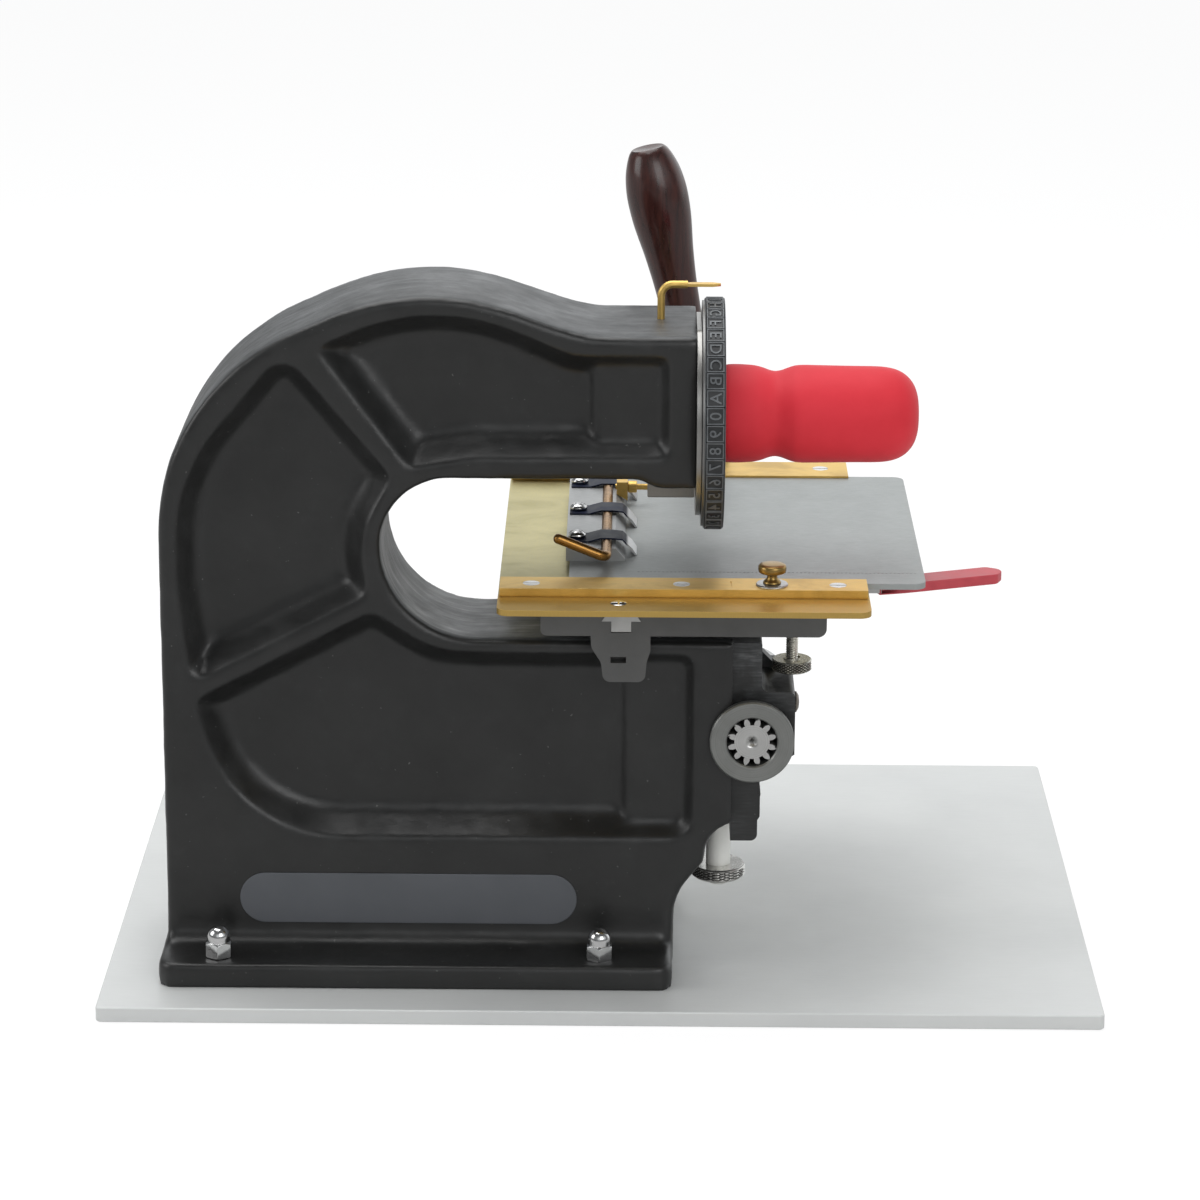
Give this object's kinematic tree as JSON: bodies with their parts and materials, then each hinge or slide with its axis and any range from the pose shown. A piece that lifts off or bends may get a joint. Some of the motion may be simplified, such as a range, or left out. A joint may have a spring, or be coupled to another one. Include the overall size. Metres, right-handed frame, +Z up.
{
  "type": "metal indenting machine",
  "caption": "Bench press that indents characters in metal tags: cast C-frame on a base plate, hand-turned type wheel, rack-lifted table with sliding carriage, tag clips and a long side lever.",
  "frame": {"origin": "centre of the base plate's underside", "axes": "+X towards the operator, out of the type wheel's grip; +Y towards the lever; +Z up"},
  "size_m": [0.508, 0.381, 0.3924],
  "materials": {
    "plate_metal": "satin",
    "casting": "semi-gloss dark paint",
    "label_grey": "matte",
    "bright_steel": "machined",
    "nut_chrome": "polished",
    "dark_steel": "blackened, worn",
    "blued_steel": "blued",
    "brass_pale": "satin, tarnished",
    "brass_rich": "satin",
    "slide_steel": "brushed",
    "red_grip": "matte",
    "red_sleeve": "satin",
    "wood": "varnished"
  },
  "bodies": {
    "frame": {"base_plate": "plate_metal", "foot_screws": "bright_steel", "acorn_nuts": "nut_chrome", "frame_casting": "casting", "label_plate": "label_grey", "pinion_cap": "casting", "cap_screws": "dark_steel", "bushing_screw": "bright_steel", "near_bushing": "bright_steel", "far_bushing": "bright_steel", "dial_bushing": "brass_rich", "retaining_screw": "dark_steel", "cover_plate": "bright_steel", "cover_screws": "bright_steel", "index_block": "bright_steel", "index_block_screws": "dark_steel", "detent_spring": "bright_steel", "pointer": "brass_rich"},
    "dial": {"dial_shaft": "bright_steel", "index_wheel": "bright_steel", "dial_wheel": "dark_steel", "type_tiles": "dark_steel", "dial_grip": "red_grip"},
    "plunger": {"detent_plunger": "bright_steel"},
    "lever": {"pinion_shaft": "bright_steel", "shaft_collar": "bright_steel", "collar_set_screw": "dark_steel", "lever_arm": "dark_steel", "lever_pin": "bright_steel", "handle_ferrule": "bright_steel", "wooden_handle": "wood"},
    "table": {"ram_rack": "bright_steel", "table_casting": "casting", "table_screw": "dark_steel", "release_pivot": "bright_steel"},
    "collar": {"stop_collar": "bright_steel"},
    "thumb_stop": {"thumb_screw": "bright_steel"},
    "release": {"release_lever": "bright_steel", "release_sleeve": "red_sleeve"},
    "carriage": {"carriage_plate": "brass_pale", "front_strip": "brass_rich", "far_strip": "brass_pale", "strip_screws": "bright_steel", "runner_bar": "bright_steel", "runner_screws": "bright_steel", "spacing_rack": "bright_steel", "rack_screws": "bright_steel", "knob_washer": "bright_steel"},
    "knob": {"lock_knob": "brass_rich"},
    "tag_slide": {"tag_plate": "slide_steel", "clip_block": "slide_steel", "clip_screws": "nut_chrome", "stop_block": "brass_rich"},
    "line_stop": {"stop_screw": "bright_steel"},
    "clips": {"clip_springs": "blued_steel"},
    "cam": {"cam_rod": "brass_rich"}
  },
  "joints": [
    {"name": "lever_turn", "type": "hinge", "parent": "frame", "child": "lever", "pos_m": [0.0762, 0, 0.1315], "axis": [0, 1, 0], "range_deg": [0, 77]},
    {"name": "table_lift", "type": "slide", "parent": "frame", "child": "table", "axis": [0, 0, 1], "range_m": [0, 0.015]},
    {"name": "dial_turn", "type": "hinge", "parent": "frame", "child": "dial", "pos_m": [0.05, -0.091, 0.2931], "axis": [1, 0, 0], "continuous": true},
    {"name": "plunger_press", "type": "slide", "parent": "frame", "child": "plunger", "axis": [-1, 0, 0], "range_m": [0, 0.002], "stiffness_N_per_m": 400, "springref_m": -0.001},
    {"name": "collar_turn", "type": "hinge", "parent": "table", "child": "collar", "pos_m": [0.0607, -0.091, 0.048], "axis": [0, 0, 1], "continuous": true},
    {"name": "thumb_screw_turn", "type": "hinge", "parent": "table", "child": "thumb_stop", "pos_m": [0.0972, -0.091, 0.158], "axis": [0, 0, 1], "continuous": true},
    {"name": "release_swing", "type": "hinge", "parent": "table", "child": "release", "pos_m": [0.104, -0.1055, 0.2066], "axis": [0, 0, -1], "range_deg": [0, 8], "stiffness_Nm_per_rad": 0.4, "springref_deg": -2.86},
    {"name": "carriage_slide", "type": "slide", "parent": "table", "child": "carriage", "axis": [0, 1, 0], "range_m": [-0.11, 0]},
    {"name": "knob_turn", "type": "hinge", "parent": "carriage", "child": "knob", "pos_m": [0.0846, -0.1425, 0.225], "axis": [0, 0, 1], "continuous": true},
    {"name": "tag_plate_slide", "type": "slide", "parent": "carriage", "child": "tag_slide", "axis": [1, 0, 0], "range_m": [-0.028, 0.016]},
    {"name": "line_stop_slide", "type": "slide", "parent": "tag_slide", "child": "line_stop", "axis": [1, 0, 0], "range_m": [0, 0.004]},
    {"name": "cam_turn", "type": "hinge", "parent": "tag_slide", "child": "cam", "pos_m": [0.0016, -0.05, 0.2233], "axis": [0, 1, 0], "range_deg": [0, 37]},
    {"name": "clip_lift", "type": "hinge", "parent": "tag_slide", "child": "clips", "pos_m": [-0.0176, -0.029, 0.2242], "axis": [0, -1, 0], "range_deg": [0, 1.65], "stiffness_Nm_per_rad": 0.00235, "springref_deg": 57.3}
  ],
  "couplings": [
    {"joint": "table_lift", "follows": "lever_turn", "m_per_rad": 0.0111},
    {"joint": "clip_lift", "follows": "cam_turn", "ratio": 0.044}
  ]
}
